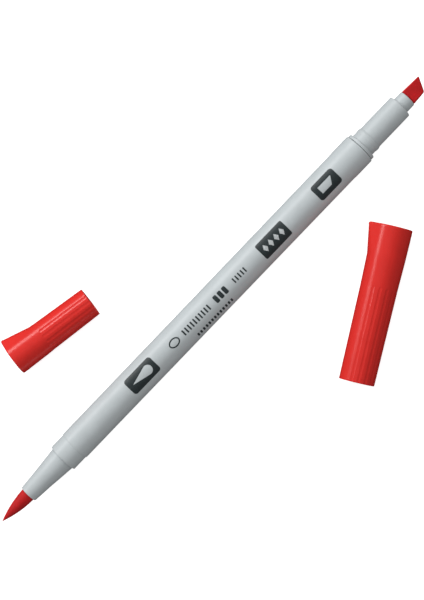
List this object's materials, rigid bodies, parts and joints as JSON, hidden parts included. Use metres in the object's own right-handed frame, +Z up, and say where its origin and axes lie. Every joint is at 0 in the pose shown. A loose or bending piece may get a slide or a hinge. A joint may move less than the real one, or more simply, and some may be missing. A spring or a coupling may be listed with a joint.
{
  "type": "double-ended brush pen with its two caps off",
  "caption": "Double-ended marker lying uncapped: brush nib at one end, chisel nib at the other, with its two fluted, winged caps beside it.",
  "frame": {"origin": "centre of the set's footprint, on the table it lies on", "axes": "+X along the pen from its brush nib to its chisel nib; +Z up from the table; +Y towards the side on which the short cap lies"},
  "size_m": [0.1772, 0.0874, 0.0116],
  "materials": {
    "barrel_plastic": "pale grey polypropylene, satin",
    "holder_plastic": "pale grey polypropylene, satin",
    "nib_fibre": "bonded fibre soaked in red ink",
    "store_fibre": "fibre stick soaked in red ink",
    "film": "thin clear film",
    "cap_plastic": "red polypropylene, glossy",
    "liner_plastic": "natural white polyethylene"
  },
  "bodies": {
    "pen": {"barrel": "barrel_plastic", "brush_holder": "holder_plastic", "brush_nib": "nib_fibre", "chisel_holder": "holder_plastic", "chisel_nib": "nib_fibre", "ink_store": "store_fibre", "ink_store_film": "film"},
    "long_cap": {"long_cap_shell": "cap_plastic", "long_cap_liner": "liner_plastic"},
    "short_cap": {"short_cap_shell": "cap_plastic", "short_cap_liner": "liner_plastic"}
  },
  "joints": [
    {"name": "long_cap_slide", "type": "slide", "parent": "pen", "child": "long_cap", "axis": [-0.8616, -0.5075, 0], "range_m": [0, 0.0446]},
    {"name": "short_cap_slide", "type": "slide", "parent": "pen", "child": "short_cap", "axis": [0.9871, -0.1599, 0], "range_m": [0, 0.0257]}
  ]
}
